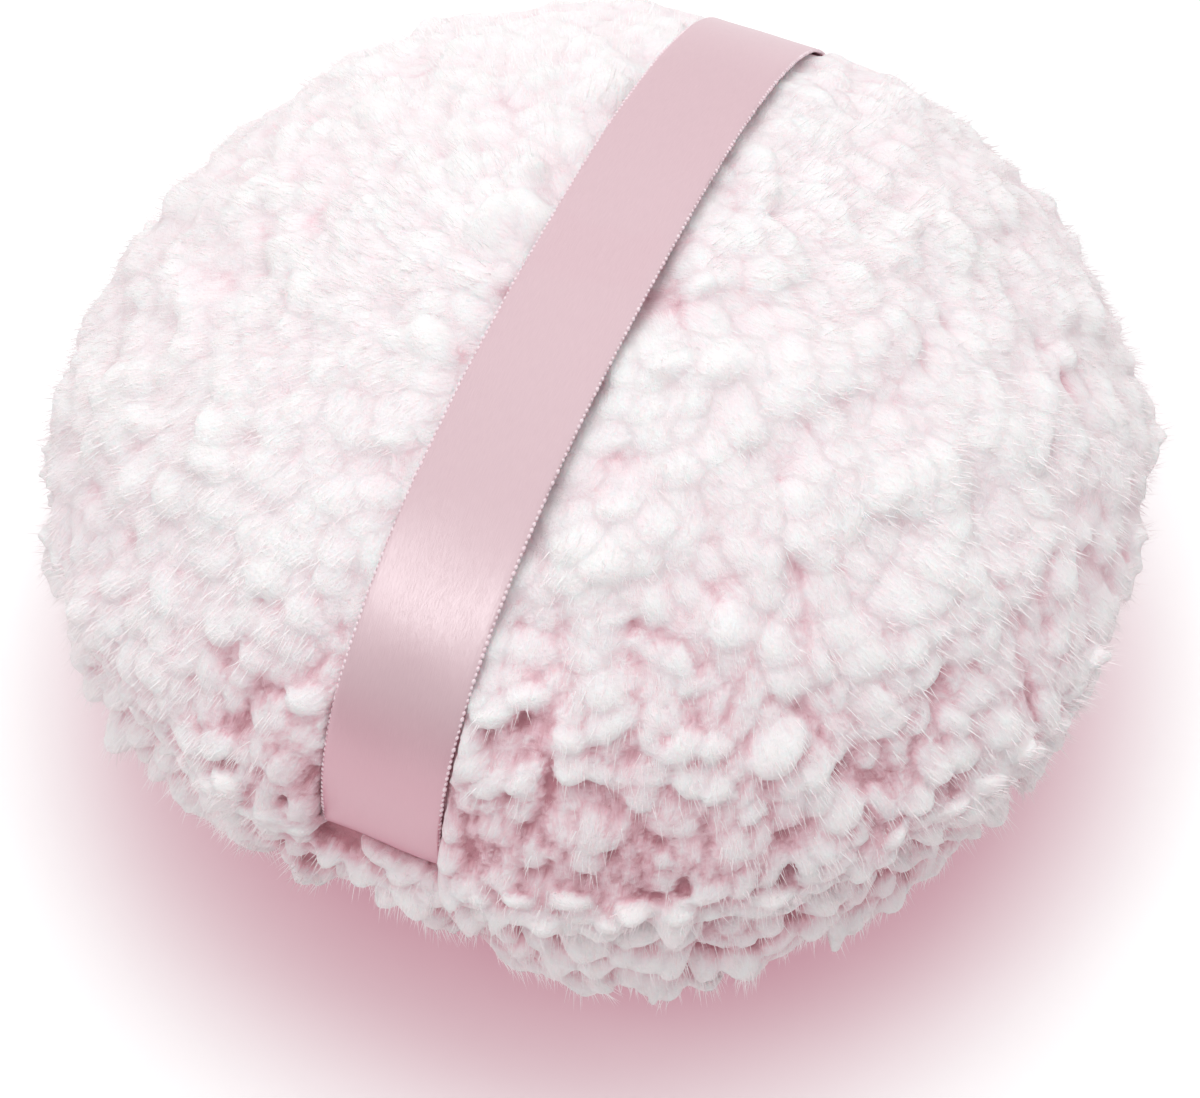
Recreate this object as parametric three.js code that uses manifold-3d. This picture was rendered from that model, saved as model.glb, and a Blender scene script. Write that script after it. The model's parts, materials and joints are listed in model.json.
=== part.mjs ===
// A round powder puff with a finger ribbon, in millimetres, +Z up.
// Two discs of long-pile fleece are sewn face to face, with both ends of a satin ribbon caught between
// them, then turned right side out over a sponge disc and closed by hand.
// The puff rests on its lower face at z = 0, and the ribbon runs over the crown along Y.

import * as THREE from 'three';
import { mergeVertices } from 'three/addons/utils/BufferGeometryUtils.js';
import Module from 'manifold-3d';

const wasm = await Module();
wasm.setup();

// The whole puff.
const puffDiameter = 95;
const puffHeight = 50;
const seamHeight = 24.5;
const clearance = 0.3;

// The fleece covers. Heights and drops are measured from the seam.
const fleeceThickness = 6.5;
const restingFleeceThickness = 5;
const upperBulgeRise = 3;
const lowerBulgeDrop = 5;
const grooveDepth = 3;
const grooveWidth = 2;
const restingCut = 0.5;

// The pile mats into tufts. The solids have its main relief: high spots about a spacing apart, with dips
// between them.
const tuftSpacing = 8.2;
const tuftRelief = 2;
const ringStepShare = 0.7549;
const cornerStepShare = 0.5698;

// The seam allowances, turned inside, and the stitches that hold them.
const allowanceThickness = 1.2;
const allowanceWidth = 5;
const stitchInset = 0.8;
const stitchLength = 4;
const stitchRise = 0.3;
const threadDiameter = 0.4;
const turningGapLength = 35;
const ladderStitchLength = 4;

// The ribbon, and how far its ends draw the puff in.
const ribbonWidth = 10;
const ribbonThickness = 0.3;
const ribbonBedding = 3.4;
const crownBedding = 0.15;
const ribbonTurnRadius = 1.5;
const ribbonPull = 1.5;
const pullWidth = 10;
const pullHeight = 12;

// The tacks that hold the ribbon's ends before the seam is sewn.
const tackWidth = 1.6;
const tackSideMargin = 0.6;
const tackTurns = 7;

// How round each outline is: 2 is an ellipse, and more is fuller.
const upperFullness = { across: 2.3, up: 1.7 };
const lowerFullness = { across: 2.5, up: 2.1 };
const ribbonFullness = { across: 2.4, up: 2.2 };
const pullFade = 4;

// How finely the curves are cut, and how far a cut runs past what it cuts.
const roundSegments = 44;
const cornersPerTuft = 2;
const outerSteps = 60;
const innerSteps = 5;
const grooveSteps = 2;
const ribbonSteps = 14;
const turnSteps = 4;
const stepsPerStitch = 4;
const stepsPerLadderStitch = 8;
const threadSides = 5;
const cutOverrun = 1;

// Radii and heights that several pieces share.
const puffRadius = puffDiameter / 2;
const crownHeight = puffHeight - seamHeight;
const grooveRadius = puffRadius - grooveDepth;
const backingRadius = puffRadius - fleeceThickness;
const stitchRadius = backingRadius - stitchInset;
const rawEdgeRadius = stitchRadius - allowanceWidth;
const threadRadius = threadDiameter / 2;
const allowanceFace = clearance / 2;
const allowanceTop = allowanceFace + allowanceThickness;
const threadRest = allowanceTop + clearance + threadRadius;
const notchHeight = threadRest + stitchRise + threadRadius + clearance;

const fleece = new THREE.MeshStandardMaterial({ color: 0xfbf1f2, roughness: 1, metalness: 0 });
const sponge = new THREE.MeshStandardMaterial({ color: 0xf7efe2, roughness: 0.95, metalness: 0 });
const satin = new THREE.MeshStandardMaterial({ color: 0xe6c6d0, roughness: 0.4, metalness: 0 });
const cotton = new THREE.MeshStandardMaterial({ color: 0xf3dbe1, roughness: 0.8, metalness: 0 });

// The puff is built about the seam, which lies in the plane z = 0 until the whole is raised.
const aboutSeam = new THREE.Group();

function addPiece(name, geometry, material) {
  const mesh = new THREE.Mesh(geometry, material.clone());
  mesh.name = name;
  aboutSeam.add(mesh);
}

// Booleans work on closed solids whose shared corners are merged and whose empty faces are dropped.

function toSolid(geometry) {
  const bare = geometry.clone();
  bare.deleteAttribute('normal');
  bare.deleteAttribute('uv');
  const merged = mergeVertices(bare);
  const corners = merged.index.array;
  const faces = [];
  for (let i = 0; i < corners.length; i += 3) {
    const [a, b, c] = corners.slice(i, i + 3);
    if (a !== b && b !== c && c !== a) faces.push(a, b, c);
  }
  return new wasm.Manifold(new wasm.Mesh({
    numProp: 3,
    vertProperties: new Float32Array(merged.attributes.position.array),
    triVerts: new Uint32Array(faces),
  }));
}

function toGeometry(solid) {
  const mesh = solid.getMesh();
  const geometry = new THREE.BufferGeometry();
  geometry.setAttribute('position', new THREE.BufferAttribute(mesh.vertProperties, 3));
  geometry.setIndex(new THREE.BufferAttribute(mesh.triVerts, 1));
  geometry.computeVertexNormals();
  return geometry;
}

// The ribbon's caught ends draw the puff in: a dent that fades around, above and below, and inwards.

function drawIn(point) {
  const outwards = (Math.abs(point.y) / puffRadius) ** pullFade;
  const around = Math.exp(-((point.x / pullWidth) ** 2));
  const upwards = Math.exp(-((point.z / pullHeight) ** 2));
  point.y -= Math.sign(point.y) * ribbonPull * outwards * around * upwards;
  return point;
}

// A turned body stands on Z, with a line of its corners at each end of the ribbon.

function turned(profile) {
  const geometry = new THREE.LatheGeometry(profile, roundSegments);
  geometry.rotateX(Math.PI / 2);
  const position = geometry.attributes.position;
  const point = new THREE.Vector3();
  for (let i = 0; i < position.count; i++) {
    drawIn(point.fromBufferAttribute(position, i));
    position.setXYZ(i, point.x, point.y, point.z);
  }
  return geometry;
}

// The level rings of corners that a cover's skin is made of. A ring is given by a corner at its highest
// and at its deepest, and by a count. Rings of pile have more corners the wider they are.

function plainRings(outline) {
  return outline.map((point) => ({ point, dip: point, count: point.x > 0 ? roundSegments : 1 }));
}

function tuftedRings(outline, flatHeight) {
  const path = new THREE.Path(outline);
  const spaced = path.getSpacedPoints(Math.round(cornersPerTuft * path.getLength() / tuftSpacing));
  spaced.at(-1).x = 0;
  const dips = besidePath(spaced, tuftRelief);
  return spaced.map((point, i) => ({
    point,
    dip: point.x > 0 && point.y < flatHeight ? dips[i] : point,
    count: Math.max(1, 2 * Math.round(Math.PI * point.x * cornersPerTuft / tuftSpacing)),
  }));
}

// The faces between two rings whose corners may differ in number.

function facesBetween(low, high) {
  const faces = [];
  const lowSteps = low.count > 1 ? low.count : 0;
  const highSteps = high.count > 1 ? high.count : 0;
  let i = 0;
  let j = 0;
  while (i < lowSteps || j < highSteps) {
    const here = low.first + i % low.count;
    const there = high.first + j % high.count;
    const alongLow = j === highSteps || (i < lowSteps && (i + 1) / lowSteps <= (j + 1) / highSteps);
    if (alongLow) {
      i += 1;
      faces.push(here, low.first + i % low.count, there);
    } else {
      j += 1;
      faces.push(here, high.first + j % high.count, there);
    }
  }
  return faces;
}

// A closed skin over rings, from the axis inside to the axis outside. Each half turn repeats the dips of
// the other, so the puff stays centred.

function ringSkin(rings) {
  const corners = [];
  const faces = [];
  let before = null;
  rings.forEach((ring, level) => {
    const here = { first: corners.length / 3, count: ring.count };
    for (let i = 0; i < ring.count; i++) {
      const depthShare = (level * ringStepShare + (i % (ring.count / 2)) * cornerStepShare) % 1;
      const place = ring.point.clone().lerp(ring.dip, depthShare);
      const angle = 2 * Math.PI * i / ring.count - Math.PI / 2;
      corners.push(...drawIn(onCircle(place.x, angle, place.y)).toArray());
    }
    if (before) faces.push(...facesBetween(before, here));
    before = here;
  });
  const geometry = new THREE.BufferGeometry();
  geometry.setAttribute('position', new THREE.Float32BufferAttribute(corners, 3));
  geometry.setIndex(faces);
  return geometry;
}

// Half of a domed outline, from its widest point, or from startHeight, to the axis. Where flatHeight
// is lower than the dome's own height, the dome is cut flat there.

function domeOutline(dome, steps, startHeight = dome.base) {
  const rise = dome.height - dome.base;
  const angleAt = (height) => Math.asin(((height - dome.base) / rise) ** (dome.fullness.up / 2));
  const first = angleAt(startHeight);
  const last = angleAt(dome.flatHeight);
  const points = [];
  for (let i = 0; i <= steps; i++) {
    const angle = first + (last - first) * i / steps;
    const radius = dome.reach * Math.max(Math.cos(angle), 0) ** (2 / dome.fullness.across);
    points.push(new THREE.Vector2(radius, dome.base + rise * Math.sin(angle) ** (2 / dome.fullness.up)));
  }
  if (dome.flatHeight < dome.height) points.push(new THREE.Vector2(0, dome.flatHeight));
  points.at(-1).x = 0;
  return points;
}

// The domes of each side: the pile's outside, the backing's inside and the sponge within it.

const upper = {
  bulge: upperBulgeRise,
  height: crownHeight,
  flatHeight: crownHeight,
  fleece: fleeceThickness,
  fullness: upperFullness,
};
const lower = {
  bulge: lowerBulgeDrop,
  height: seamHeight + restingCut,
  flatHeight: seamHeight,
  fleece: restingFleeceThickness,
  fullness: lowerFullness,
};

function pileDome(side) {
  return { ...side, reach: puffRadius, base: side.bulge };
}

function innerDome(side, gap) {
  return {
    reach: backingRadius - gap,
    base: allowanceTop,
    height: side.height - side.fleece - gap,
    flatHeight: side.flatHeight - side.fleece - gap,
    fullness: side.fullness,
  };
}

// Each cover is a cup of fleece. Its edge is drawn in to the seam groove and turned inside as a flat
// allowance.

function coverRings(side) {
  const outside = domeOutline(pileDome(side), outerSteps);
  const groove = [];
  const grooveLip = grooveWidth / 2;
  for (let i = grooveSteps; i > 0; i--) {
    const angle = (Math.PI / 2) * i / grooveSteps;
    groove.push(new THREE.Vector2(
      puffRadius - grooveDepth * (1 - Math.cos(angle)),
      side.bulge - (side.bulge - grooveLip) * Math.sin(angle),
    ));
  }
  const allowance = [
    new THREE.Vector2(rawEdgeRadius, allowanceTop),
    new THREE.Vector2(rawEdgeRadius, allowanceFace),
    new THREE.Vector2(grooveRadius, allowanceFace),
  ];
  const inside = domeOutline(innerDome(side, 0), innerSteps);
  return [
    ...plainRings([...inside.reverse(), ...allowance, ...groove]),
    ...tuftedRings(outside, side.flatHeight),
  ];
}

function mirrored(point) {
  return new THREE.Vector2(point.x, -point.y);
}

// The ribbon's centre line in the YZ plane, from its front end, caught in the seam, over the crown to
// its back end.

const ribbonReach = puffRadius - ribbonPull - ribbonBedding;
const ribbonCrown = crownHeight - crownBedding - ribbonThickness / 2;
const ribbonTailEnd = drawIn(new THREE.Vector3(0, rawEdgeRadius, 0)).y;

function ribbonPath() {
  const half = [new THREE.Vector2(ribbonTailEnd, 0)];
  for (let i = 0; i < turnSteps; i++) {
    const angle = (Math.PI / 2) * i / turnSteps;
    half.push(new THREE.Vector2(
      ribbonReach - ribbonTurnRadius * (1 - Math.sin(angle)),
      ribbonTurnRadius * (1 - Math.cos(angle)),
    ));
  }
  half.push(...domeOutline({
    reach: ribbonReach,
    base: ribbonTurnRadius,
    height: ribbonCrown,
    flatHeight: ribbonCrown,
    fullness: ribbonFullness,
  }, ribbonSteps));
  const front = half.map((point) => new THREE.Vector2(-point.x, point.y));
  return [...front, ...half.slice(0, -1).reverse()];
}

// A line beside a path: outwards where distance is positive, towards the sponge where it is negative.

function besidePath(path, distance) {
  return path.map((point, i) => {
    const before = path[Math.max(i - 1, 0)];
    const after = path[Math.min(i + 1, path.length - 1)];
    const along = after.clone().sub(before).normalize();
    return new THREE.Vector2(point.x - along.y * distance, point.y + along.x * distance);
  });
}

// An outline in the YZ plane made as wide as the ribbon and centred on it, with extra on both sides.

function acrossPuff(outline, extra) {
  const width = ribbonWidth + 2 * extra;
  const geometry = new THREE.ExtrudeGeometry(new THREE.Shape(outline), {
    depth: width,
    bevelEnabled: false,
  });
  geometry.translate(0, 0, -width / 2);
  geometry.applyMatrix4(new THREE.Matrix4().set(
    0, 0, 1, 0,
    1, 0, 0, 0,
    0, 1, 0, 0,
    0, 0, 0, 1,
  ));
  return geometry;
}

// The bed that the ribbon presses into the pile: the upper cover loses all that lies outside the
// ribbon's underside, and both covers lose a slot for its caught ends.

const bedEnd = ribbonTailEnd - clearance;
const bedDepth = ribbonThickness / 2 + clearance;
const beyondPuff = puffRadius + cutOverrun;

function upperBed() {
  const path = ribbonPath();
  path[0].x = -bedEnd;
  path.at(-1).x = bedEnd;
  return acrossPuff([
    ...besidePath(path, -bedDepth),
    new THREE.Vector2(bedEnd, -cutOverrun),
    new THREE.Vector2(beyondPuff, -cutOverrun),
    new THREE.Vector2(beyondPuff, crownHeight + cutOverrun),
    new THREE.Vector2(-beyondPuff, crownHeight + cutOverrun),
    new THREE.Vector2(-beyondPuff, -cutOverrun),
    new THREE.Vector2(-bedEnd, -cutOverrun),
  ], clearance);
}

function lowerSlot(end) {
  return acrossPuff([
    new THREE.Vector2(end * bedEnd, -bedDepth),
    new THREE.Vector2(end * beyondPuff, -bedDepth),
    new THREE.Vector2(end * beyondPuff, cutOverrun),
    new THREE.Vector2(end * bedEnd, cutOverrun),
  ], clearance);
}

function upperCover() {
  const cup = toSolid(ringSkin(coverRings(upper)));
  return toGeometry(cup.subtract(toSolid(upperBed())));
}

function lowerCover() {
  const rings = coverRings(lower).map((ring) => ({
    point: mirrored(ring.point),
    dip: mirrored(ring.dip),
    count: ring.count,
  }));
  const cup = toSolid(ringSkin(rings.reverse()));
  return toGeometry(cup.subtract(toSolid(lowerSlot(-1))).subtract(toSolid(lowerSlot(1))));
}

// The sponge fills both covers. A notch round its rim makes room for the allowances and their thread.

function foamCore() {
  const above = domeOutline(innerDome(upper, clearance), innerSteps, notchHeight);
  const below = domeOutline(innerDome(lower, clearance), innerSteps, notchHeight).map(mirrored);
  const notchRadius = rawEdgeRadius - clearance;
  const notch = [
    new THREE.Vector2(notchRadius, -notchHeight),
    new THREE.Vector2(notchRadius, notchHeight),
  ];
  return toGeometry(toSolid(turned([...below.reverse(), ...notch, ...above])));
}

function ribbon() {
  const path = ribbonPath();
  const outer = besidePath(path, ribbonThickness / 2);
  const inner = besidePath(path, -ribbonThickness / 2);
  return acrossPuff([...outer, ...inner.reverse()], 0);
}

// A thread is a small round section drawn along points, which follow the ribbon's pull.

function thread(points) {
  const section = [];
  for (let i = 0; i < threadSides; i++) {
    const angle = 2 * Math.PI * i / threadSides;
    section.push(new THREE.Vector2(threadRadius * Math.cos(angle), threadRadius * Math.sin(angle)));
  }
  return new THREE.ExtrudeGeometry(new THREE.Shape(section), {
    steps: points.length - 1,
    extrudePath: new THREE.CatmullRomCurve3(points.map(drawIn)),
    bevelEnabled: false,
  });
}

function onCircle(radius, angle, height) {
  return new THREE.Vector3(radius * Math.cos(angle), radius * Math.sin(angle), height);
}

// The turning gap is left open in the machine seam, behind the ribbon's back end.

const turningGapCentre = THREE.MathUtils.degToRad(150);
const turningGapAngle = turningGapLength / stitchRadius;
const gapStart = turningGapCentre - turningGapAngle / 2;
const gapEnd = turningGapCentre + turningGapAngle / 2;

// One thread of the lockstitch: it lies along an allowance and dips to it at each needle hole.

function seamThread(side) {
  const sewnAngle = 2 * Math.PI - turningGapAngle;
  const stitches = Math.round(sewnAngle * stitchRadius / stitchLength);
  const steps = stitches * stepsPerStitch;
  const points = [];
  for (let i = 0; i <= steps; i++) {
    const lift = stitchRise * (1 - Math.cos(2 * Math.PI * i / stepsPerStitch)) / 2;
    const angle = gapEnd + sewnAngle * i / steps;
    points.push(onCircle(stitchRadius, angle, side * (threadRest + lift)));
  }
  return thread(points);
}

// The ladder stitch that closes the gap by hand: it runs along one fold, then crosses to the other.

function closingThread() {
  const stitches = Math.round(turningGapLength / ladderStitchLength);
  const steps = stitches * stepsPerLadderStitch;
  const reach = grooveWidth / 2 - clearance - threadRadius;
  const points = [];
  for (let i = 0; i <= steps; i++) {
    const swing = 2 * Math.sin(2 * Math.PI * i / stepsPerLadderStitch);
    const height = reach * THREE.MathUtils.clamp(swing, -1, 1);
    const angle = gapStart + turningGapAngle * i / steps;
    points.push(onCircle(grooveRadius + clearance + threadRadius, angle, height));
  }
  return thread(points);
}

// A zigzag tack on the upper allowance, across the ribbon's end.

function tackThread(end) {
  const span = ribbonWidth - 2 * tackSideMargin;
  const middle = (rawEdgeRadius + stitchRadius) / 2;
  const steps = 4 * tackTurns;
  const points = [];
  for (let i = 0; i <= steps; i++) {
    const swing = (tackWidth / 2) * Math.sin(2 * Math.PI * i * tackTurns / steps);
    points.push(new THREE.Vector3(span * (i / steps - 1 / 2), end * (middle + swing), threadRest));
  }
  return thread(points);
}

addPiece('top_cover', upperCover(), fleece);
addPiece('bottom_cover', lowerCover(), fleece);
addPiece('foam_core', foamCore(), sponge);
addPiece('ribbon', ribbon(), satin);
addPiece('seam_needle_thread', seamThread(1), cotton);
addPiece('seam_bobbin_thread', seamThread(-1), cotton);
addPiece('closing_thread', closingThread(), cotton);
addPiece('front_tack_thread', tackThread(-1), cotton);
addPiece('back_tack_thread', tackThread(1), cotton);

const puff = new THREE.Group();
aboutSeam.position.z = seamHeight;
puff.add(aboutSeam);

export default puff;
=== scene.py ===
import json
import math
import random

import bmesh
import bpy
from mathutils import Matrix, Vector, noise
from mathutils.bvhtree import BVHTree

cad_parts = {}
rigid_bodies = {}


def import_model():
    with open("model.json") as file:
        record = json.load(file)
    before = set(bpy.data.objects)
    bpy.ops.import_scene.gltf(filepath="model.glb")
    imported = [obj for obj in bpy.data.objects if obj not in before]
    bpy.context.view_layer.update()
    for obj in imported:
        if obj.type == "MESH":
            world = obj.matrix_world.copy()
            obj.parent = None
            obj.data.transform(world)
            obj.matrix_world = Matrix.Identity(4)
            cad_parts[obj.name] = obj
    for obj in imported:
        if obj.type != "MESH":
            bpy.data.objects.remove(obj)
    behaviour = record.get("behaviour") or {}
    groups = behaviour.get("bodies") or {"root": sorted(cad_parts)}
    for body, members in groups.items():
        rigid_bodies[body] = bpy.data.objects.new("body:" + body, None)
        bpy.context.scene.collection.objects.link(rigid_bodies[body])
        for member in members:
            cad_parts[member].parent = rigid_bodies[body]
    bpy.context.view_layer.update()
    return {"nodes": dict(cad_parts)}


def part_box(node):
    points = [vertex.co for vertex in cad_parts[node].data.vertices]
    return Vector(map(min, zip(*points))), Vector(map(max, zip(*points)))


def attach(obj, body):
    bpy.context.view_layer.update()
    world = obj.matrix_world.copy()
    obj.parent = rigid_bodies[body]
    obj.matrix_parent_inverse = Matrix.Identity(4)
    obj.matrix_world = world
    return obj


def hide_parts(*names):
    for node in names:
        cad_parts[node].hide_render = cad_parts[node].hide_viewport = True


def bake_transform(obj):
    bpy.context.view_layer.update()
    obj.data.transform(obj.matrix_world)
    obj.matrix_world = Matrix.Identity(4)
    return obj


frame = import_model()

# The view.
# The puff is seen from above its front and a little from its right, close enough to fill the picture.

camera_elevation = math.radians(56.2)
camera_azimuth = math.radians(23.4)
camera_distance = 0.2282
camera_drop = 0.0078
camera_lens = 78.5
nearest_seen = 0.01
looked_at = Vector((0, 0, 0.022))


def linked(name, data):
    made = bpy.data.objects.new(name, data)
    bpy.context.scene.collection.objects.link(made)
    return made


backwards = Vector((
    math.sin(camera_azimuth) * math.cos(camera_elevation),
    -math.cos(camera_azimuth) * math.cos(camera_elevation),
    math.sin(camera_elevation),
))
rightwards = Vector((math.cos(camera_azimuth), math.sin(camera_azimuth), 0))
upwards = backwards.cross(rightwards)

camera_data = bpy.data.cameras.new("camera")
camera_data.sensor_fit = "HORIZONTAL"
camera_data.lens = camera_lens
camera_data.clip_start = nearest_seen
camera = linked("camera", camera_data)
camera.matrix_world = Matrix((rightwards, upwards, backwards)).transposed().to_4x4()
camera.location = looked_at + backwards * camera_distance - upwards * camera_drop
bpy.context.scene.camera = camera
bpy.context.scene.view_settings.view_transform = "Standard"

# The studio.
# A white room, brighter behind and above than in front. A large soft lamp hangs overhead, and a smaller
# one in front makes the bright band on the satin.

ceiling_lamp_size = (0.5, 0.5)
ceiling_lamp_place = Vector((-0.04, 0.20, 0.55))
ceiling_lamp_power = 1.4
front_lamp_size = (0.30, 0.17)
front_lamp_place = Vector((-0.12, -0.28, 0.50))
front_lamp_power = 0.6
bright_side = Vector((-0.24, 0.55, 0.8))
bright_side_reach = (-0.4, 0.6)
dim_wall_light = 0.42
bright_wall_light = 0.85


def add_node(tree, kind, inputs=None, **settings):
    made = tree.nodes.new(kind)
    for name, value in settings.items():
        setattr(made, name, value)
    for name, value in (inputs or {}).items():
        if isinstance(value, bpy.types.NodeSocket):
            tree.links.new(value, made.inputs[name])
        else:
            made.inputs[name].default_value = value
    return made


def ranged(tree, value, low, high, to_low=0.0, to_high=1.0, change="LINEAR"):
    return add_node(tree, "ShaderNodeMapRange", {
        "Value": value, "From Min": low, "From Max": high, "To Min": to_low, "To Max": to_high,
    }, interpolation_type=change).outputs["Result"]


def vectors(tree, operation, *values, result="Vector"):
    return add_node(
        tree, "ShaderNodeVectorMath", dict(enumerate(values)), operation=operation).outputs[result]


def lamp(name, place, power, size):
    data = bpy.data.lights.new(name, "AREA")
    data.energy = power
    data.shape = "RECTANGLE"
    data.size, data.size_y = size
    made = linked(name, data)
    made.location = place
    made.rotation_euler = (place - looked_at).to_track_quat("Z", "Y").to_euler()
    return made


ceiling_lamp = lamp("ceiling_lamp", ceiling_lamp_place, ceiling_lamp_power, ceiling_lamp_size)
ceiling_lamp.visible_glossy = False
lamp("front_lamp", front_lamp_place, front_lamp_power, front_lamp_size)

world = bpy.data.worlds.new("room")
world.use_nodes = True
bpy.context.scene.world = world
sky = world.node_tree
sky.nodes.clear()
direction = add_node(sky, "ShaderNodeTexCoord").outputs["Generated"]
brightness = vectors(sky, "DOT_PRODUCT", direction, bright_side, result="Value")
room_light = ranged(sky, brightness, *bright_side_reach, dim_wall_light, bright_wall_light)
seen_by = add_node(sky, "ShaderNodeLightPath")
unlit_wall = add_node(sky, "ShaderNodeBackground", {"Color": (1, 1, 1, 1), "Strength": 1})
lit_wall = add_node(sky, "ShaderNodeBackground", {"Strength": room_light})
wall = add_node(sky, "ShaderNodeMixShader", {
    "Fac": seen_by.outputs["Is Camera Ray"],
    1: lit_wall.outputs["Background"],
    2: unlit_wall.outputs["Background"],
})
add_node(sky, "ShaderNodeOutputWorld", {"Surface": wall.outputs["Shader"]})

# The floor.
# White board that the puff stands on. For the camera its shadow is painted pink by an emission, and a
# painted shadow darkens it round the puff's foot; further out it is even white.

floor_reach = 3
# The camera sees this pink emission under the board's shading, so the puff's shadow on it is painted pink.
shadow_colour = (0.46, 0.21, 0.27, 1)
lit_share = (0.62, 0.88, 0.82, 1)
# Painted shadow: the board seen by the camera is darker round the puff's foot, fading to its lit colour
# further out.
painted_shadow_share = (0.22, 0.24, 0.23, 1)
painted_shadow_middle = Vector((0.001, -0.004, 0))
painted_shadow_reach = (0.030, 0.060)
even_reach = (0.09, 0.2)
floor_colour = (0.92, 0.82, 0.84, 1)


def maths(tree, operation, first, second):
    return add_node(tree, "ShaderNodeMath", {0: first, 1: second}, operation=operation).outputs["Value"]


def mixed(tree, share, first, second):
    """Two colours mixed. Sockets 6, 7 and 2 of the node are those for colours."""
    return add_node(tree, "ShaderNodeMix", {
        "Factor": share, 6: first, 7: second}, data_type="RGBA").outputs[2]


floor_mesh = bpy.data.meshes.new("floor")
floor_mesh.from_pydata([
    (x * floor_reach, y * floor_reach, 0) for x, y in ((-1, -1), (1, -1), (1, 1), (-1, 1))
], [], [(0, 1, 2, 3)])
floor = linked("floor", floor_mesh)
board = bpy.data.materials.new("white_board")
board.use_nodes = True
tree = board.node_tree
tree.nodes.clear()
seen_by = add_node(tree, "ShaderNodeLightPath").outputs
seen = maths(tree, "MAXIMUM", seen_by["Is Camera Ray"], seen_by["Is Glossy Ray"])
# Painted shadow tint: a pink emission, for camera and glossy rays only.
painted_shadow_tint = add_node(tree, "ShaderNodeEmission", {"Color": shadow_colour, "Strength": 1})
place = add_node(tree, "ShaderNodeTexCoord").outputs["Object"]
off_middle = vectors(tree, "DISTANCE", place, painted_shadow_middle, result="Value")
# Painted shadow round the puff, by distance from its middle.
clear_of_painted_shadow = ranged(tree, off_middle, *painted_shadow_reach, change="SMOOTHSTEP")
lit = add_node(tree, "ShaderNodeBsdfDiffuse", {
    "Color": mixed(tree, clear_of_painted_shadow, painted_shadow_share, lit_share)})
shown = add_node(tree, "ShaderNodeAddShader", {0: painted_shadow_tint.outputs["Emission"], 1: lit.outputs["BSDF"]})
plain = add_node(tree, "ShaderNodeBsdfDiffuse", {"Color": floor_colour})
even_white = add_node(tree, "ShaderNodeEmission", {"Color": (1, 1, 1, 1), "Strength": 1})
seen_board = add_node(tree, "ShaderNodeMixShader", {
    "Fac": ranged(tree, off_middle, *even_reach),
    1: shown.outputs["Shader"],
    2: even_white.outputs["Emission"],
})
either = add_node(tree, "ShaderNodeMixShader", {
    "Fac": seen,
    1: plain.outputs["BSDF"],
    2: seen_board.outputs["Shader"],
})
add_node(tree, "ShaderNodeOutputMaterial", {"Surface": either.outputs["Shader"]})
floor_mesh.materials.append(board)

# The covers' backing.
# Each half of the puff is a disc of knitted fleece. Its edge is folded in as a seam allowance, so the
# cloth bulges out over the seam and is drawn in again where the ribbon is caught.

puff_radius = 0.0475
crown_height = 0.050
seam_height = (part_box("top_cover")[0].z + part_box("bottom_cover")[1].z) / 2
ribbon_half_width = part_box("ribbon")[1].x
ribbon_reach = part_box("ribbon")[1].y
ribbon_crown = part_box("ribbon")[1].z

pile_depth = 0.0033
resting_pile_depth = 0.0022
fleece_thickness = 0.0065
resting_fleece_thickness = 0.005
resting_cut = 0.0005
pressed_height = 1.5 * resting_pile_depth
upper_bulge_rise = 0.003
lower_bulge_drop = 0.005
backing_radius = 0.041
raw_edge_radius = 0.0352
allowance_gap = 0.00015
allowance_top = 0.00135
upper_fullness = (2.3, 1.7)
lower_fullness = (2.5, 2.1)
ribbon_fullness = (2.4, 2.2)
ribbon_turn_height = 0.0015
bend_start_height = seam_height + ribbon_turn_height
pull_depth, pull_width, pull_height = 0.0015, 0.010, 0.012
pull_fade = 4
bed_clearance = 0.0011
bed_half_width = 0.0053
bed_edge = 0.0065
round_steps = 112
dome_steps, inner_steps, fold_steps = 24, 8, 6
puffing_pressure = 4
puffing_frames = 20
most_puffed = 0.0012
inside_part, fold_part, pile_part = 0, 1, 2


def dome(reach, base, top, fullness, steps, flat=None):
    """Points (radius, height) of half an outline, from its widest point to the axis."""
    across, up = fullness
    last = math.asin(min(1, (flat - base) / (top - base)) ** (up / 2)) if flat else math.pi / 2
    points = []
    for i in range(steps + 1):
        angle = last * i / steps
        radius = reach * max(math.cos(angle), 0) ** (2 / across)
        points.append((radius, base + (top - base) * math.sin(angle) ** (2 / up)))
    if flat:
        inner = points[-1][0]
        points += [(inner * (1 - i / fold_steps), flat) for i in range(1, fold_steps + 1)]
    points[-1] = (0, points[-1][1])
    return points


def pull_in(x, y, z):
    """The dent that the ribbon's caught ends leave in the puff. z is measured from the seam."""
    near = math.exp(-(x / pull_width) ** 2 - (z / pull_height) ** 2)
    return y - math.copysign(pull_depth * (abs(y) / puff_radius) ** pull_fade * near, y)


def bed_share(x):
    """1 under the ribbon, fading to 0 beside it."""
    share = min(1, max(0, (bed_edge - abs(x)) / (bed_edge - bed_half_width)))
    return share * share * (3 - 2 * share)


def above_bed(y, z, depth):
    """How far a point lies outside the ribbon's path less depth: over 1 is outside."""
    across, up = ribbon_fullness
    rise = max(0, z - bend_start_height) / (ribbon_crown - depth - bend_start_height)
    return (abs(y) / (ribbon_reach - depth)) ** across + rise ** up


def shrunk(x, y, z, shrink):
    """A point drawn in towards the ribbon's path. It keeps its height where the ribbon turns up."""
    low = bend_start_height
    return x, y * shrink, low + (z - low) * shrink if z > low else z


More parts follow.
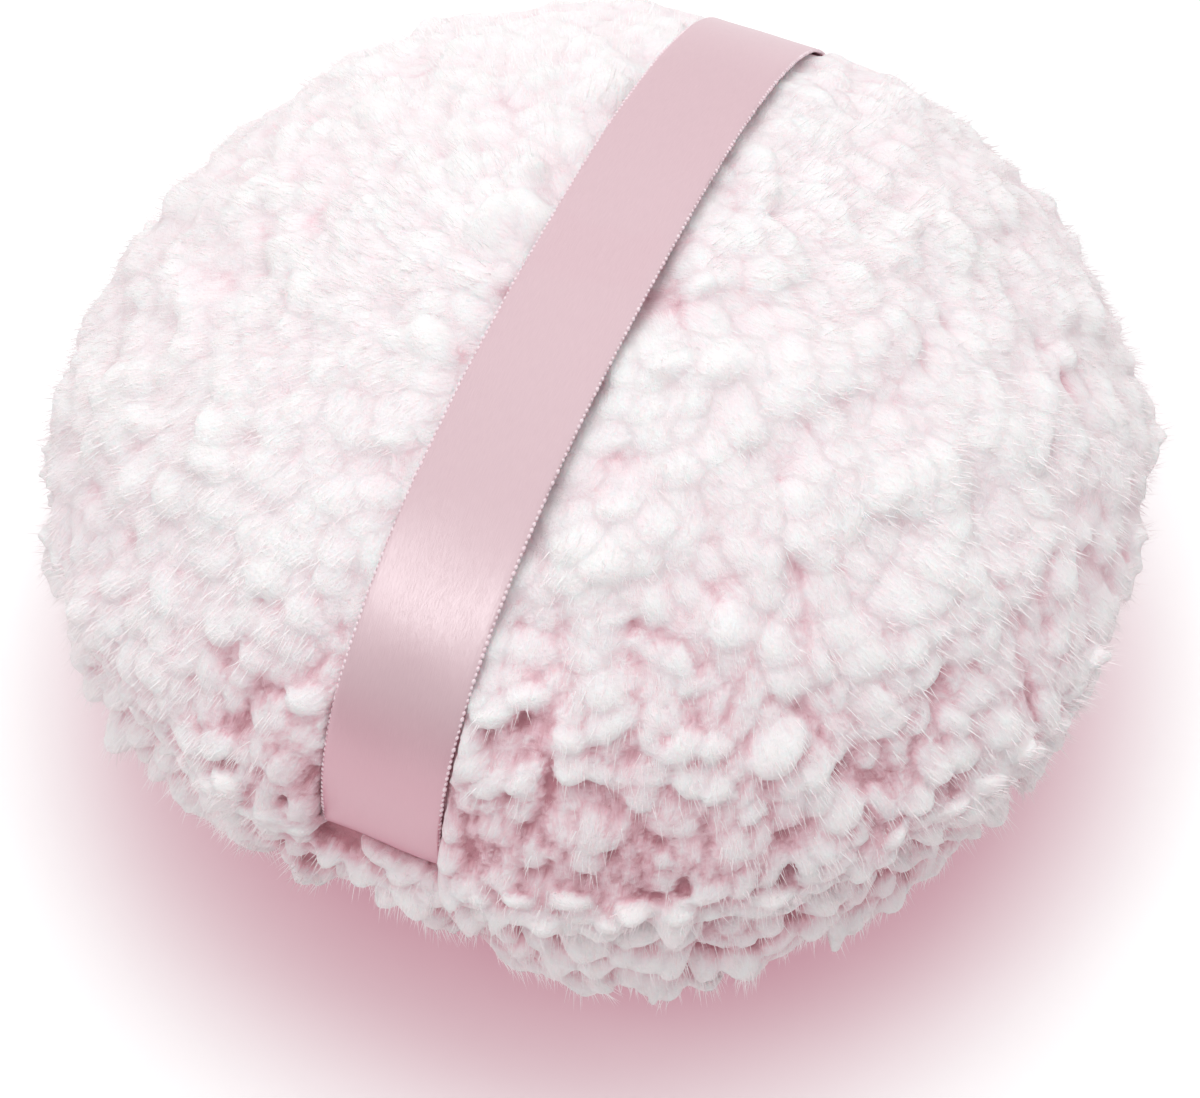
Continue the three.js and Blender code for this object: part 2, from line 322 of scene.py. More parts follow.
def mesh_data(name, mesh):
    """Plain mesh data with what mesh, a bmesh, holds. The bmesh is used up."""
    data = bpy.data.meshes.new(name)
    mesh.to_mesh(data)
    mesh.free()
    return data


def join_rings(mesh, rings, sides):
    """Faces between one ring of points and the next. A ring of a single point closes an end."""
    for low, high in zip(rings, rings[1:]):
        for i in range(sides):
            j = (i + 1) % sides
            corners = [low[i % len(low)], low[j % len(low)], high[j % len(high)], high[i % len(high)]]
            mesh.faces.new(dict.fromkeys(corners))


def turned_mesh(name, profile):
    """profile lists (radius, height from the seam, part) from inside to outside, with ends on the axis."""
    mesh = bmesh.new()
    part = mesh.verts.layers.float.new("part")
    rows = []
    for radius, height, kind in profile:
        count = 1 if radius == 0 else round_steps
        row = []
        for i in range(count):
            angle = 2 * math.pi * (i + 0.5) / count
            x, y = radius * math.cos(angle), radius * math.sin(angle)
            vertex = mesh.verts.new((x, pull_in(x, y, height), seam_height + height))
            vertex[part] = kind
            row.append(vertex)
        rows.append(row)
    join_rings(mesh, rows, round_steps)
    bmesh.ops.recalc_face_normals(mesh, faces=mesh.faces)
    return linked(name, mesh_data(name, mesh))


def cover_profile(bulge, top, depth, thickness, fullness, rests):
    """One cover's closed outline: backing, raw edge, fold at the seam, and the foot of the pile."""
    inner_top = top - thickness
    backing = dome(backing_radius, allowance_top, inner_top, fullness, inner_steps)
    pile_top = top - depth
    outside = dome(puff_radius - pile_depth, bulge, pile_top + (resting_cut if rests else 0), fullness,
                   dome_steps, pile_top if rests else None)
    fold_radius = backing_radius + allowance_top / 2
    fold = []
    for i in range(1, fold_steps):
        angle = math.pi / 2 * i / fold_steps
        fold.append((
            fold_radius + (puff_radius - pile_depth - fold_radius) * math.sin(angle),
            allowance_gap + (bulge - allowance_gap) * (1 - math.cos(angle)),
        ))
    edge = [(raw_edge_radius, allowance_top), (raw_edge_radius, allowance_gap),
            (fold_radius - allowance_gap, allowance_gap)]
    return (
        [(r, h, inside_part) for r, h in backing[::-1] + edge]
        + [(r, h, fold_part) for r, h in [(fold_radius, allowance_gap)] + fold]
        + [(r, h, pile_part) for r, h in outside]
    )


def press_bed(cover):
    """Sinks the strip under the ribbon, and notes how much of a strip each point is in."""
    bed = cover.data.attributes.new("bed", "FLOAT", "POINT")
    for vertex, share in zip(cover.data.vertices, bed.data):
        x, y, z = vertex.co
        share.value = bed_share(x) if z > seam_height else 0
        outside = above_bed(y, z, bed_clearance)
        if share.value > 0 and outside > 1:
            shrink = 1 + (outside ** (-1 / ribbon_fullness[0]) - 1) * share.value
            vertex.co = shrunk(x, y, z, shrink)


def puff_out(cover):
    """The sponge presses the cloth out between the seam and the ribbon, which hold it."""
    held = cover.vertex_groups.new(name="held")
    parts = [value.value for value in cover.data.attributes["part"].data]
    beds = [value.value for value in cover.data.attributes["bed"].data]
    before = [vertex.co.copy() for vertex in cover.data.vertices]
    for i, (part, bed) in enumerate(zip(parts, beds)):
        held.add([i], 1 if part < pile_part else bed, "REPLACE")
    cloth = cover.modifiers.new("cloth", "CLOTH")
    cloth.settings.vertex_group_mass = held.name
    cloth.settings.use_pressure = True
    cloth.settings.uniform_pressure_force = puffing_pressure
    cloth.settings.effector_weights.gravity = 0
    cloth.point_cache.frame_end = puffing_frames
    for step in range(1, puffing_frames + 1):
        bpy.context.scene.frame_set(step)
    simulated = cover.evaluated_get(bpy.context.evaluated_depsgraph_get()).to_mesh()
    after = [vertex.co.copy() for vertex in simulated.vertices]
    cover.modifiers.remove(cloth)
    cover.vertex_groups.remove(held)
    for vertex, start, end in zip(cover.data.vertices, before, after):
        push = end - start
        if push.length > most_puffed:
            push *= most_puffed / push.length
        vertex.co = start + push
    bpy.context.scene.frame_set(1)


nap_crown_radius, nap_fall = 0.034, 0.8
nap_swirls_per_metre, nap_swirl, nap_swirl_seed = 70, 0.6, 1
groove_height = 0.0045
fold_stand = 0.3
fold_room, resting_room, bed_room = 0.85, 0.45, 0.9


def lay_nap(cover):
    """Notes how the pile leans, out from the crown and down the sides, and how long it may grow."""
    noise.seed_set(nap_swirl_seed)
    for name, kind in (("nap", "FLOAT_VECTOR"), ("room", "FLOAT"), ("stand", "FLOAT")):
        cover.data.attributes.new(name, kind, "POINT")
    naps, rooms, stands, parts, beds = (
        cover.data.attributes[name].data for name in ("nap", "room", "stand", "part", "bed"))
    for i, vertex in enumerate(cover.data.vertices):
        x, y, z = vertex.co
        radius = math.hypot(x, y) or 1
        outward = min(1, radius / nap_crown_radius)
        swirl = noise.noise_vector(vertex.co * nap_swirls_per_metre)
        part, bed = parts[i].value, beds[i].value
        fall = -nap_fall * outward if part > fold_part or z < seam_height else 0
        naps[i].vector = Vector((x / radius, y / radius, fall)) + swirl * nap_swirl
        from_seam = min(1, abs(z - seam_height) / groove_height)
        stands[i].value = fold_stand * 4 * from_seam * (1 - from_seam)
        grown = {inside_part: 0, fold_part: fold_room, pile_part: 1}[int(part)]
        pressed = resting_room if z < pressed_height else 1
        rooms[i].value = min(grown, pressed) * (1 - (1 - bed_room) * bed)


solid_relief = 0.002
followed_share = 0.65
crown_lift, crown_lift_start = 0.0009, 0.034
# Each swell's azimuth in degrees, height over the seam, spread round and up the cover, and size.
uneven_swells = (
    (168, 0.006, 28, 0.013, -0.0011),
    (221, -0.001, 20, 0.011, 0.0015),
    (268, -0.009, 16, 0.009, -0.0018),
    (303, -0.008, 18, 0.009, 0.0014),
)


def follow_solid(cover, node):
    """Gives the foot of the pile the main relief of the cover's solid, and then a few uneven swells."""
    solid = frame["nodes"][node]
    skin = BVHTree.FromPolygons(
        [solid.matrix_world @ vertex.co for vertex in solid.data.vertices],
        [list(face.vertices) for face in solid.data.polygons])
    parts = cover.data.attributes["part"].data
    beds = cover.data.attributes["bed"].data
    for vertex, part, bed in zip(cover.data.vertices, parts, beds):
        if part.value < pile_part or bed.value > 0 or vertex.co.z < pressed_height:
            continue
        *_, depth = skin.ray_cast(vertex.co, vertex.normal)
        if depth and depth < 2 * pile_depth:
            crown_share = (vertex.co.z - crown_lift_start) / (crown_height - crown_lift_start)
            crown_share = min(1, max(0, crown_share))
            followed = (depth - pile_depth + solid_relief / 2) * followed_share
            vertex.co += vertex.normal * (followed + crown_lift * math.sqrt(crown_share))
    for vertex, part in zip(cover.data.vertices, parts):
        if part.value < fold_part:
            continue
        x, y, z = vertex.co
        radius = math.hypot(x, y) or 1
        azimuth = math.degrees(math.atan2(y, x)) % 360
        swell = sum(
            size * math.exp(-((azimuth - where) / spread) ** 2 - ((z - seam_height - up) / rise) ** 2)
            for where, up, spread, rise, size in uneven_swells)
        swell *= min(1, abs(z - seam_height) / groove_height)
        vertex.co = (x * (1 + swell / radius), y * (1 + swell / radius), z)


def backing(name, node, profile):
    cover = turned_mesh(name, profile)
    press_bed(cover)
    follow_solid(cover, node)
    puff_out(cover)
    lay_nap(cover)
    return cover


top_backing = backing("top_backing", "top_cover", cover_profile(
    upper_bulge_rise, crown_height - seam_height, pile_depth, fleece_thickness, upper_fullness, False))
bottom_backing = backing("bottom_backing", "bottom_cover", [
    (radius, -height, part) for radius, height, part in cover_profile(
        lower_bulge_drop, seam_height, resting_pile_depth, resting_fleece_thickness, lower_fullness, True)])

# The pile.
# Fine polyester fibres that mat into soft rounded tufts, pale at their tips. Their colour holds painted
# shade, deeper pink down in the gaps and in crevices, and painted light, paler towards the top and back.
# Tufts are planted on the backing and felted into one skin, and loose fibres are combed over it.

tuft_kinds = 8
tuft_sides, tuft_rings = 12, 7
tuft_breadth, tuft_depth = 0.38, 0.2
tuft_curl, tuft_twist = 0.08, 0.22
tuft_breadths, tuft_depths = (0.75, 1.2), (0.8, 1.2)
tuft_lobes, lobe_sizes = (3, 5), (0.1, 0.25)
tuft_bluntness, tuft_fullness, tuft_taper = 0.75, 1.1, 0.2
tuft_length = 0.0046
filling_length = tuft_length * 0.66
main_spacing, filling_spacing = 0.0017, 0.00135
closest_packing = 3.0
least_room = 0.2
flat_to_steep = (0.95, 0.3)
level_to_steep = (0.9, 0.3)
tuft_uprightness = (0.36, 0.26)
tuft_breadth_shares, tuft_length_shares = (1.15, 0.8), (0.9, 1.1)
tuft_sizes = (0.85, 1.15)
tuft_stray, tuft_roll = 0.15, 0.25
patches_per_metre, patch_sizes = 130.0, (0.9, 1.1)
noise_reach = (0.3, 0.7)
tousles_per_metre, tousle_reach = 380.0, 0.0010
felt_cell = 0.00035
felt_smoothing = 2
fold_blur = 24
fold_depth = 0.0005
ribbon_side = ribbon_half_width + 0.0003
lean_over_ribbon, leans_per_metre = 0.0010, 260
left_from_right = 0.01
kept_lean = 0.15
in_bed = 0.5
under_ribbon = 0.0006
least_height = 0.0001
settling = 0.0006
ridge_depth = 0.0006
ridge_pitches, ridge_shifts = (12.0, 12.0, 2.0), 5.0
resting_heights = (0.001, 0.004)
brushed_way = (-0.33, 0.763, 0.556)
brushed_places = (-0.012, 0.008)
brushed_shares = (-0.1, -0.85)
most_brushed = -0.85
tip_heights = (0.0001, 0.0008)
tip_trim = 0.65
# Painted shade in the crevices, strongest on the lower front; and painted light, paler towards the top and
# back.
painted_crevice_shares = (0.85, 0.35)
painted_light_places = (-0.016, 0.006)
painted_light_shares = (0.03, 0.25)


def tuft_mesh(seed):
    """One matted lock, a unit long: a flat tongue along Z, broad in Y, with a ragged tip curled along X."""
    draw = random.Random(seed)
    curl, twist = draw.uniform(-tuft_curl, tuft_curl), draw.uniform(-tuft_twist, tuft_twist)
    wide, deep = draw.uniform(*tuft_breadths), draw.uniform(*tuft_depths)
    lobes = [(number, draw.uniform(*lobe_sizes), draw.uniform(0, math.tau)) for number in tuft_lobes]
    mesh = bmesh.new()
    strand = mesh.verts.layers.float_vector.new("strand")
    rows = []
    for ring in range(tuft_rings + 2):
        turn = math.pi * ring / (tuft_rings + 1)
        along = (1 - math.cos(turn)) / 2
        thick = math.sin(turn) ** tuft_bluntness * (tuft_fullness - tuft_taper * along)
        middle = Vector((curl * along ** 2, twist * along ** 2, along))
        row = []
        for side in range(1 if ring in (0, tuft_rings + 1) else tuft_sides):
            angle = math.tau * side / tuft_sides
            radius = thick * (1 + sum(size * along * math.sin(number * angle + phase)
                                      for number, size, phase in lobes))
            out, across = math.cos(angle), math.sin(angle)
            vertex = mesh.verts.new(middle + Vector((
                radius * out * deep * tuft_depth, radius * across * wide * tuft_breadth, 0)))
            vertex[strand] = (thick * tuft_depth * out, thick * tuft_breadth * across, along)
            row.append(vertex)
        rows.append(row)
    join_rings(mesh, rows, tuft_sides)
    return mesh_data(f"tuft_{seed}", mesh)


tufts = bpy.data.collections.new("tufts")
for kind in range(tuft_kinds):
    tufts.objects.link(bpy.data.objects.new(f"tuft_{kind}", tuft_mesh(kind)))


def tree_of_nodes(name, inputs):
    """A geometry tree with a mesh input and output, and further inputs of (name, kind)."""
    made = bpy.data.node_groups.new(name, "GeometryNodeTree")
    for label, kind in [("Geometry", "NodeSocketGeometry"), *inputs]:
        made.interface.new_socket(label, in_out="INPUT", socket_type=kind)
    made.interface.new_socket("Geometry", in_out="OUTPUT", socket_type="NodeSocketGeometry")
    return made, add_node(made, "NodeGroupInput").outputs


def named(tree, name, kind="FLOAT"):
    return add_node(tree, "GeometryNodeInputNamedAttribute", {
        "Name": name}, data_type=kind).outputs["Attribute"]


def random_value(tree, low, high, seed, kind="FLOAT"):
    made = add_node(tree, "FunctionNodeRandomValue", data_type=kind)
    lowest, highest = [socket for socket in made.inputs if socket.enabled][:2]
    lowest.default_value, highest.default_value = low, high
    made.inputs["Seed"].default_value = seed
    return next(socket for socket in made.outputs if socket.enabled)


def scaled(tree, vector, scale):
    return add_node(tree, "ShaderNodeVectorMath", {
        0: vector, "Scale": scale}, operation="SCALE").outputs["Vector"]


def height_of(tree, vector):
    return add_node(tree, "ShaderNodeSeparateXYZ", {"Vector": vector}).outputs["Z"]


def moved(tree, geometry, offset):
    return add_node(tree, "GeometryNodeSetPosition", {
        "Geometry": geometry, "Offset": offset}).outputs["Geometry"]


def noise_of(tree, where, scale=1.0, detail=1.0, **settings):
    return add_node(tree, "ShaderNodeTexNoise", {
        "Vector": where, "Scale": scale, "Detail": detail}, **settings).outputs["Fac"]


def shape_of(tree, thing):
    return add_node(tree, "GeometryNodeObjectInfo", {"Object": thing}).outputs["Geometry"]


def realised(tree, instances):
    return add_node(tree, "GeometryNodeRealizeInstances", {"Geometry": instances}).outputs["Geometry"]


def end_tree(tree, geometry, finish):
    finished = add_node(tree, "GeometryNodeSetMaterial", {"Geometry": geometry, "Material": finish})
    add_node(tree, "NodeGroupOutput", {"Geometry": finished.outputs["Geometry"]})
    return tree


def times(tree, first, second):
    return maths(tree, "MULTIPLY", first, second)


def stored(tree, geometry, name, value, domain="POINT", kind="FLOAT"):
    return add_node(tree, "GeometryNodeStoreNamedAttribute", {
        "Geometry": geometry, "Name": name, "Value": value,
    }, domain=domain, data_type=kind).outputs["Geometry"]


def planted_tufts(tree, given, spacing, length, seed):
    """Tufts rooted a spacing apart, which lean and lie over one another more where the cover is steep."""
    room = named(tree, "room")
    crowding = maths(tree, "DIVIDE", maths(tree, "DIVIDE", closest_packing, spacing), spacing)
    roots = add_node(tree, "GeometryNodeDistributePointsOnFaces", {
        "Mesh": given["Geometry"], "Selection": maths(tree, "GREATER_THAN", room, least_room),
        "Distance Min": spacing, "Density Max": crowding, "Seed": given["Seed"],
    }, distribute_method="POISSON")
    normal = roots.outputs["Normal"]
    nap = named(tree, "nap", "FLOAT_VECTOR")
    stray = random_value(tree, (-1, -1, -1), (1, 1, 1), seed, "FLOAT_VECTOR")
    flatness = height_of(tree, normal)
    across = vectors(tree, "CROSS_PRODUCT", normal, nap)
    lying = vectors(tree, "NORMALIZE", vectors(tree, "CROSS_PRODUCT", across, normal))
    upright = ranged(tree, flatness, *flat_to_steep, *tuft_uprightness)
    upright = maths(tree, "ADD", upright, named(tree, "stand"))
    growth = vectors(tree, "ADD", lying, scaled(tree, normal, upright))
    growth = vectors(tree, "ADD", growth, scaled(tree, stray, tuft_stray))
    turn = add_node(tree, "FunctionNodeAxesToRotation", {
        "Primary Axis": growth,
        "Secondary Axis": vectors(tree, "ADD", normal, scaled(tree, stray, tuft_roll)),
    }, primary_axis="Z", secondary_axis="X")
    swell = add_node(tree, "ShaderNodeTexNoise", {
        "Scale": patches_per_metre, "Detail": 0.0}).outputs["Fac"]
    size = times(tree, random_value(tree, *tuft_sizes, seed + 1), length)
    size = times(tree, size, ranged(tree, swell, *noise_reach, *patch_sizes))
    wide = times(tree, size, ranged(tree, flatness, *level_to_steep, *tuft_breadth_shares))
    tall = times(tree, times(tree, size, room),
                 ranged(tree, flatness, *level_to_steep, *tuft_length_shares))
    size = add_node(tree, "ShaderNodeCombineXYZ", {"X": wide, "Y": wide, "Z": tall}).outputs["Vector"]
    kinds = add_node(tree, "GeometryNodeCollectionInfo", {
        "Collection": given["Tufts"], "Separate Children": True, "Reset Children": True})
    planted = add_node(tree, "GeometryNodeInstanceOnPoints", {
        "Points": roots.outputs["Points"], "Instance": kinds.outputs["Instances"], "Pick Instance": True,
        "Instance Index": random_value(tree, 0, tuft_kinds - 1, seed + 2, "INT"),
        "Rotation": turn.outputs["Rotation"], "Scale": size,
    }).outputs["Instances"]
    return stored(tree, planted, "growth", growth, "INSTANCE", "FLOAT_VECTOR")


def plant_tufts_tree():
    tree, given = tree_of_nodes("plant_tufts", [
        ("Main Spacing", "NodeSocketFloat"), ("Filling Spacing", "NodeSocketFloat"),
        ("Length", "NodeSocketFloat"), ("Filling Length", "NodeSocketFloat"), ("Seed", "NodeSocketInt"),
        ("Tufts", "NodeSocketCollection"),
    ])
    both = add_node(tree, "GeometryNodeJoinGeometry")
    for spacing, length, seed in (("Main Spacing", "Length", 5), ("Filling Spacing", "Filling Length", 15)):
        tree.links.new(planted_tufts(tree, given, given[spacing], given[length], seed), both.inputs[0])
    tousle = add_node(tree, "ShaderNodeTexNoise", {"Scale": tousles_per_metre, "Detail": 1.0})
    wander = vectors(tree, "SUBTRACT", tousle.outputs["Color"], (0.5, 0.5, 0.5))
    tousled = moved(tree, realised(tree, both.outputs["Geometry"]), scaled(tree, wander, tousle_reach))
    whole = add_node(tree, "GeometryNodeJoinGeometry")
    tree.links.new(given["Geometry"], whole.inputs[0])
    tree.links.new(tousled, whole.inputs[0])
    add_node(tree, "NodeGroupOutput", {"Geometry": whole.outputs["Geometry"]})
    return tree


def finish_felt_tree():
    """Notes on the felted skin how far it stands off the backing and which way its fibres run, and how much
    painted shade its crevices get and painted light its top and back get.
    """
    tree, given = tree_of_nodes("finish_felt", [
        ("Tufts", "NodeSocketObject"), ("Backing", "NodeSocketObject"), ("Pile Depth", "NodeSocketFloat"),
        ("Ridges", "NodeSocketFloat"), ("Finish", "NodeSocketMaterial"),
    ])
    where = add_node(tree, "GeometryNodeInputPosition").outputs["Position"]
    tufts_there = shape_of(tree, given["Tufts"])
    geometry = given["Geometry"]
    for name, kind in (("growth", "FLOAT_VECTOR"), ("strand", "FLOAT_VECTOR"), ("bed", "FLOAT")):
        nearest = add_node(tree, "GeometryNodeSampleNearestSurface", {
            "Mesh": tufts_there, "Value": named(tree, name, kind), "Sample Position": where,
        }, data_type=kind)
        geometry = stored(tree, geometry, name, nearest.outputs["Value"], kind=kind)
    along = vectors(tree, "MULTIPLY", named(tree, "strand", "FLOAT_VECTOR"), ridge_pitches)
    along = vectors(tree, "ADD", along, scaled(tree, named(tree, "growth", "FLOAT_VECTOR"), ridge_shifts))
    ridges = noise_of(tree, along)
    normal = add_node(tree, "GeometryNodeInputNormal").outputs["Normal"]
    off_table = ranged(tree, height_of(tree, where), *resting_heights)
    depth = times(tree, maths(tree, "SUBTRACT", ridges, 0.5), given["Ridges"])
    depth = times(tree, depth, off_table)
    geometry = moved(tree, geometry, scaled(tree, normal, depth))
    levelled = add_node(tree, "GeometryNodeBlurAttribute", {
        "Value": where, "Iterations": fold_blur}, data_type="FLOAT_VECTOR").outputs["Value"]
    off_level = vectors(tree, "SUBTRACT", where, levelled)
    stands = vectors(tree, "DOT_PRODUCT", off_level, normal, result="Value")
    place = vectors(tree, "DOT_PRODUCT", where, brushed_way, result="Value")
    # Painted shade: how deep each point lies in a crevice, made stronger towards the lower front.
    fold = times(tree, maths(tree, "DIVIDE", stands, fold_depth),
                 ranged(tree, place, *brushed_places, *painted_crevice_shares))
    geometry = stored(tree, geometry, "fold", fold)
    brushed = maths(tree, "ADD", ranged(tree, place, *brushed_places, *brushed_shares),
                    ranged(tree, stands, *tip_heights, 0.0, -tip_trim))
    brushed = times(tree, off_table, maths(tree, "MAXIMUM", brushed, most_brushed))
    geometry = moved(tree, geometry, scaled(tree, off_level, brushed))
    off_backing = add_node(tree, "GeometryNodeProximity", {"Geometry": shape_of(tree, given["Backing"])})
    rise = maths(tree, "DIVIDE", off_backing.outputs["Distance"], given["Pile Depth"])
    geometry = stored(tree, geometry, "rise", rise)
    # Painted light: the colour is made paler towards the top and back, added to the painted shade by depth.
    painted_light = ranged(tree, place, *painted_light_places, *painted_light_shares)
    geometry = stored(tree, geometry, "paleness", maths(tree, "ADD", rise, painted_light))
    smooth = add_node(tree, "GeometryNodeSetShadeSmooth", {"Geometry": geometry})
    return end_tree(tree, smooth.outputs["Geometry"], given["Finish"])


def made_plain(piece, name):
    """A plain mesh object of piece with its modifiers applied. The modifiers are taken off piece."""
    data = bpy.data.meshes.new_from_object(piece.evaluated_get(bpy.context.evaluated_depsgraph_get()))
    piece.modifiers.clear()
    data.name = name
    return linked(name, data)


def run_tree(piece, name, tree, values):
    """A plain mesh made from piece by a geometry tree, whose inputs are set by their identifiers."""
    modifier = piece.modifiers.new("grown", "NODES")
    modifier.node_group = tree
    for socket in tree.interface.items_tree:
        if socket.in_out == "INPUT" and socket.name in values:
            modifier[socket.identifier] = values[socket.name]
    return made_plain(piece, name)


def felted(planted, name):
    """The tufts and the backing joined into one skin, and rubbed smooth."""
    remesh = planted.modifiers.new("felt", "REMESH")
    remesh.mode = "VOXEL"
    remesh.voxel_size = felt_cell
    rubbed = planted.modifiers.new("rub", "SMOOTH")
    rubbed.iterations = felt_smoothing
    return made_plain(planted, name)


fibre_sides = 3
fibre_length = 0.0014
fibre_width = 0.027
fibre_lengths = (0.6, 1.3)
fibre_lift, fibre_stray = 0.25, 0.32
fibres_per_square_metre = 2.2e6
lowest_fibre = 1.5 * fibre_length
fibre_bounds = (("rise", "GREATER_THAN", 0.45), ("bed", "LESS_THAN", 0.05))


def fibre_mesh():
    """One loose fibre, a unit long: a fine closed spike that stands on Z."""
    mesh = bmesh.new()
    foot = []
    for side in range(fibre_sides):
        angle = math.tau * side / fibre_sides
        foot.append(mesh.verts.new((fibre_width * math.cos(angle), fibre_width * math.sin(angle), 0)))
    tip = mesh.verts.new((0, 0, 1))
    mesh.faces.new(foot[::-1])
    for first, second in zip(foot, foot[1:] + foot[:1]):
        mesh.faces.new([first, second, tip])
    return mesh_data("fibre", mesh)


def comb_fibres_tree():
    tree, given = tree_of_nodes("comb_fibres", [
        ("Fibre", "NodeSocketObject"), ("Per Square Metre", "NodeSocketFloat"),
        ("Length", "NodeSocketFloat"), ("Least Height", "NodeSocketFloat"), ("Seed", "NodeSocketInt"),
        ("Finish", "NodeSocketMaterial"),
    ])
    where = add_node(tree, "GeometryNodeInputPosition").outputs["Position"]
    clear = maths(tree, "GREATER_THAN", height_of(tree, where), given["Least Height"])
    for name, operation, bound in fibre_bounds:
        clear = times(tree, clear, maths(tree, operation, named(tree, name), bound))
    roots = add_node(tree, "GeometryNodeDistributePointsOnFaces", {
        "Mesh": given["Geometry"], "Selection": clear,
        "Density": given["Per Square Metre"], "Seed": given["Seed"],
    }, distribute_method="RANDOM")
    growth = vectors(tree, "NORMALIZE", named(tree, "growth", "FLOAT_VECTOR"))
    stray = random_value(tree, (-1, -1, -1), (1, 1, 1), seed=5, kind="FLOAT_VECTOR")
    way = vectors(tree, "ADD", scaled(tree, roots.outputs["Normal"], fibre_lift), growth)
    way = vectors(tree, "ADD", way, scaled(tree, stray, fibre_stray))
    turn = add_node(tree, "FunctionNodeAlignRotationToVector", {
        "Vector": way}, axis="Z").outputs["Rotation"]
    length = times(tree, given["Length"], random_value(tree, *fibre_lengths, seed=8))
    planted = add_node(tree, "GeometryNodeInstanceOnPoints", {
        "Points": roots.outputs["Points"], "Instance": shape_of(tree, given["Fibre"]),
        "Rotation": turn, "Scale": length,
    }).outputs["Instances"]
    return end_tree(tree, realised(tree, planted), given["Finish"])


# The pile's colour by depth: its near white tips, and painted shade below them, darker and deeper pink down
# in the gaps.
painted_shade_foot_colour = (0.1, (0.64, 0.31, 0.36, 1))
tip_colour = (0.85, (0.98, 0.915, 0.925, 1))
painted_shade_middle_colours = ((0.32, (0.85, 0.58, 0.64, 1)), (0.55, (0.955, 0.82, 0.85, 1)))
streak_pitches, streak_shifts = (22.0, 22.0, 3.0), 9.0
streak_shades = (-0.06, 0.06)
# Painted shade in the crevices between tufts.
painted_crevice_reach, painted_crevice_shades = (-1.2, 0.4), (-0.42, 0.08)
specks_per_metre, speck_share = 3200.0, 0.7
fibre_patches_per_metre = 900.0
fibre_colours = ((0.95, 0.86, 0.88, 1), (0.99, 0.97, 0.97, 1))


def pile_and_painted_shade_colours(tree, rise):
    """Painted shade: deep pink at the foot of the pile and in its gaps, paling to the near white of its
    tips.
    """
    ramp = add_node(tree, "ShaderNodeValToRGB", {"Fac": rise})
    stops = ramp.color_ramp.elements
    stops[0].position, stops[0].color = painted_shade_foot_colour
    stops[1].position, stops[1].color = tip_colour
    for place, colour in painted_shade_middle_colours:
        stops.new(place).color = colour
    return ramp.outputs["Color"]


def new_finish(name, settings):
    """A material, its node tree and its shader, with the shader's inputs set."""
    material = bpy.data.materials.new(name)
    material.use_nodes = True
    shader = material.node_tree.nodes["Principled BSDF"]
    for label, value in settings.items():
        shader.inputs[label].default_value = value
    return material, material.node_tree, shader


def noted(tree, name):
    return add_node(tree, "ShaderNodeAttribute", attribute_name=name).outputs


def own_place(tree):
    return add_node(tree, "ShaderNodeTexCoord").outputs["Object"]


def coloured(tree, shader, share, colours):
    tree.links.new(mixed(tree, share, *colours), shader.inputs["Base Color"])


def bumped(tree, shader, height, strength, distance):
    bump = add_node(tree, "ShaderNodeBump", {"Height": height, "Strength": strength, "Distance": distance})
    tree.links.new(bump.outputs["Normal"], shader.inputs["Normal"])


def fleece():
    material, tree, shader = new_finish("fleece_pile", {
        "Roughness": 0.9, "Specular IOR Level": 0.15, "Sheen Weight": 0.2,
        "Subsurface Weight": 0.7, "Subsurface Radius": (1.0, 0.7, 0.75), "Subsurface Scale": 0.0016,
    })
    along = vectors(tree, "MULTIPLY", noted(tree, "strand")["Vector"], streak_pitches)
    along = vectors(tree, "ADD", along, scaled(tree, noted(tree, "growth")["Vector"], streak_shifts))
    streaks = noise_of(tree, along, detail=2.0)
    specks = noise_of(tree, own_place(tree), specks_per_metre, detail=2.0)
    # Painted shade and light: paler at the tips and towards the top and back, deeper pink in the gaps and
    # crevices, with streaks of the fibres' own tone.
    shade = maths(tree, "ADD", noted(tree, "paleness")["Fac"],
                  ranged(tree, streaks, *noise_reach, *streak_shades))
    shade = maths(tree, "ADD", shade, ranged(tree, noted(tree, "fold")["Fac"], *painted_crevice_reach, *painted_crevice_shades))
    tree.links.new(pile_and_painted_shade_colours(tree, shade), shader.inputs["Base Color"])
    relief = maths(tree, "ADD", streaks, times(tree, specks, speck_share))
    bumped(tree, shader, relief, strength=0.5, distance=0.0004)
    return material


def loose_fibre():
    material, tree, shader = new_finish("loose_fibre", {"Roughness": 0.8, "Specular IOR Level": 0.2})
    patches = noise_of(tree, own_place(tree), fibre_patches_per_metre)
    coloured(tree, shader, patches, fibre_colours)
    return material


def comb(cover, side_of_seam, sink):
    """Keeps the pile out of the ribbon's way, on its own side of the seam, and on the table."""
    beds = cover.data.attributes["bed"].data
    for vertex, bed in zip(cover.data.vertices, beds):
        x, y, z = vertex.co
        stray = max(0, noise.noise(Vector((math.copysign(left_from_right, x), y, z)) * leans_per_metre))
        side = ribbon_side - lean_over_ribbon * stray
        if side_of_seam > 0 and abs(x) < side:
            outside = above_bed(y, z, under_ribbon)
            if outside > 1:
                if bed.value > in_bed:
                    x, y, z = shrunk(x, y, z, outside ** (-1 / ribbon_fullness[0]))
                else:
                    x = math.copysign(side + (side - abs(x)) * kept_lean, x)
        z = max(z - sink * max(0, 1 - z / resting_heights[1]), least_height)
        past_seam = (seam_height - z) * side_of_seam + allowance_gap
        vertex.co = (x, y, z + side_of_seam * max(0, past_seam))


